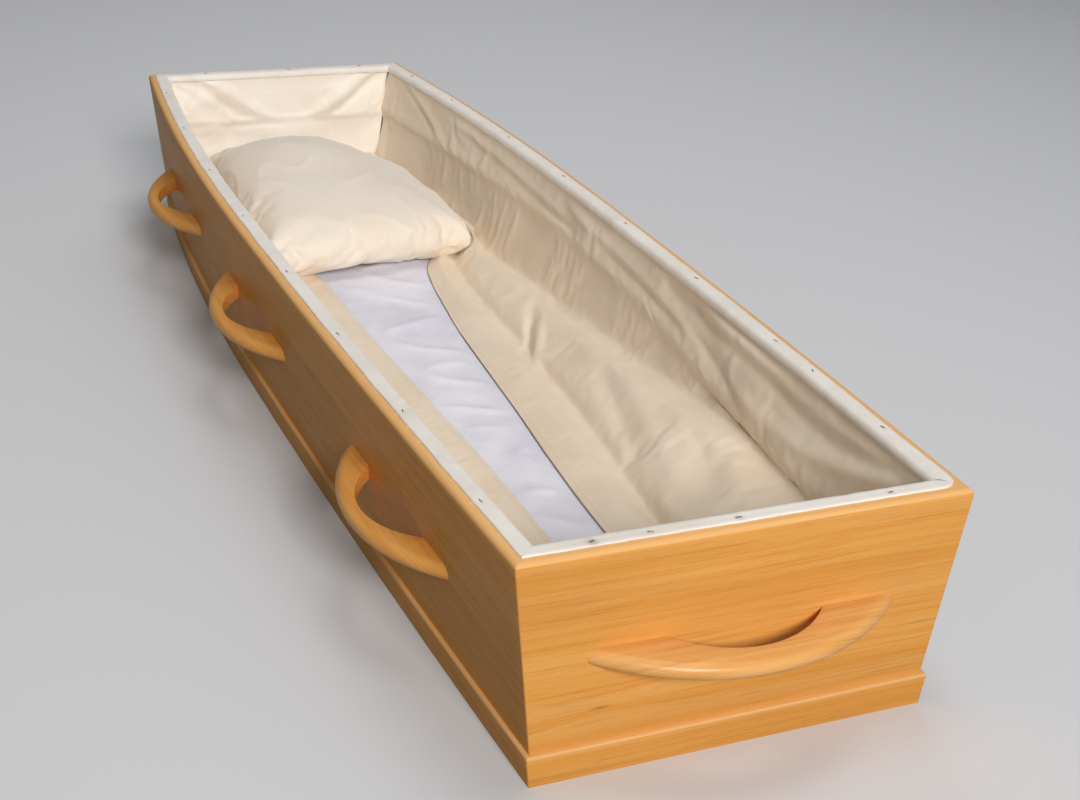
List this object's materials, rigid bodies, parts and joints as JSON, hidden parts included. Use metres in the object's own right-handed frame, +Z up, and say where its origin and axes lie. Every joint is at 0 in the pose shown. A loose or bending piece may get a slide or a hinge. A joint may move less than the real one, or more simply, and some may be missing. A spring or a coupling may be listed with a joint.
{
  "type": "open coffin",
  "caption": "Open wooden coffin base with bowed, leaning sides, a plinth moulding, crescent grips, a cloth lining, mattress, sheet and pillow.",
  "frame": {"origin": "middle of the underside, at the centre of the overall box", "axes": "+Y along the length towards the head end, +Z up"},
  "size_m": [0.7126, 2.1454, 0.287],
  "materials": {
    "board": "satin clear-coated golden wood with a fine straight grain",
    "handle": "satin clear-coated golden wood",
    "edge_strip": "white cotton tape",
    "lining": "cream cotton sateen, wrinkled",
    "sheet": "white cotton",
    "pillow": "cream cotton sateen, plump",
    "tack": "dull wire"
  },
  "bodies": {
    "root": {"base_board": "board", "left_panel": "board", "right_panel": "board", "foot_panel": "board", "head_panel": "board", "left_plinth": "board", "right_plinth": "board", "foot_plinth": "board", "head_plinth": "board", "handle_left_foot": "handle", "handle_left_middle": "handle", "handle_left_head": "handle", "handle_right_foot": "handle", "handle_right_middle": "handle", "handle_right_head": "handle", "handle_foot": "handle", "handle_head": "handle", "left_edge_strip": "edge_strip", "right_edge_strip": "edge_strip", "foot_edge_strip": "edge_strip", "head_edge_strip": "edge_strip", "left_lining": "lining", "right_lining": "lining", "foot_lining": "lining", "head_lining": "lining", "mattress": "sheet", "sheet": "sheet", "pillow": "pillow"}
  },
  "joints": []
}
